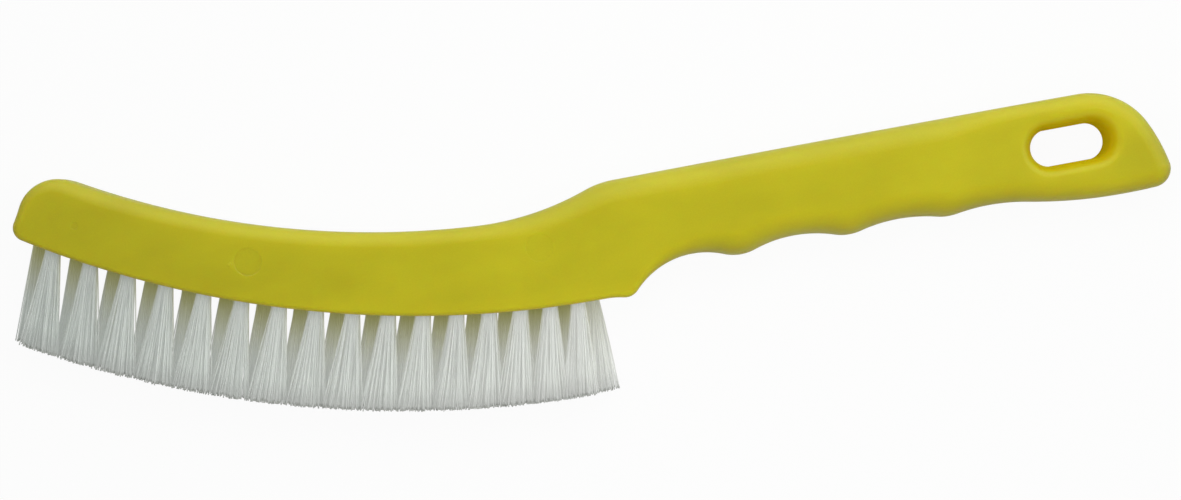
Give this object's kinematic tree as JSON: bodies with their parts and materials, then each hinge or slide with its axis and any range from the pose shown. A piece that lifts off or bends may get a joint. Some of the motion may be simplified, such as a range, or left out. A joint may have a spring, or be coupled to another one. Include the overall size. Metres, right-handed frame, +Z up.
{
  "type": "bicycle cleaning brush",
  "caption": "Hand brush with a bowed head of staggered bristle tufts and a straight grip with finger grooves and a hanging slot, for scrubbing bicycle parts.",
  "frame": {"origin": "middle of the underside of the bounding box, level with the flat side that the brush lies on", "axes": "+X along the grip from the bristle head to the hanging end, +Y away from the bristles, +Z up, square to the flat sides"},
  "size_m": [0.293, 0.077, 0.02],
  "materials": {
    "handle_plastic": "moulded yellow-green polypropylene, fine satin",
    "bristle_nylon": "translucent white nylon filaments",
    "anchor_wire": "bright flat steel wire"
  },
  "bodies": {
    "root": {"handle": "handle_plastic", "bristles_upper": "bristle_nylon", "bristles_lower": "bristle_nylon", "anchor_upper_01": "anchor_wire", "anchor_upper_02": "anchor_wire", "anchor_upper_03": "anchor_wire", "anchor_upper_04": "anchor_wire", "anchor_upper_05": "anchor_wire", "anchor_upper_06": "anchor_wire", "anchor_upper_07": "anchor_wire", "anchor_upper_08": "anchor_wire", "anchor_upper_09": "anchor_wire", "anchor_upper_10": "anchor_wire", "anchor_upper_11": "anchor_wire", "anchor_upper_12": "anchor_wire", "anchor_upper_13": "anchor_wire", "anchor_upper_14": "anchor_wire", "anchor_upper_15": "anchor_wire", "anchor_upper_16": "anchor_wire", "anchor_lower_01": "anchor_wire", "anchor_lower_02": "anchor_wire", "anchor_lower_03": "anchor_wire", "anchor_lower_04": "anchor_wire", "anchor_lower_05": "anchor_wire", "anchor_lower_06": "anchor_wire", "anchor_lower_07": "anchor_wire", "anchor_lower_08": "anchor_wire", "anchor_lower_09": "anchor_wire", "anchor_lower_10": "anchor_wire", "anchor_lower_11": "anchor_wire", "anchor_lower_12": "anchor_wire", "anchor_lower_13": "anchor_wire", "anchor_lower_14": "anchor_wire", "anchor_lower_15": "anchor_wire", "anchor_lower_16": "anchor_wire", "anchor_lower_17": "anchor_wire"}
  },
  "joints": []
}
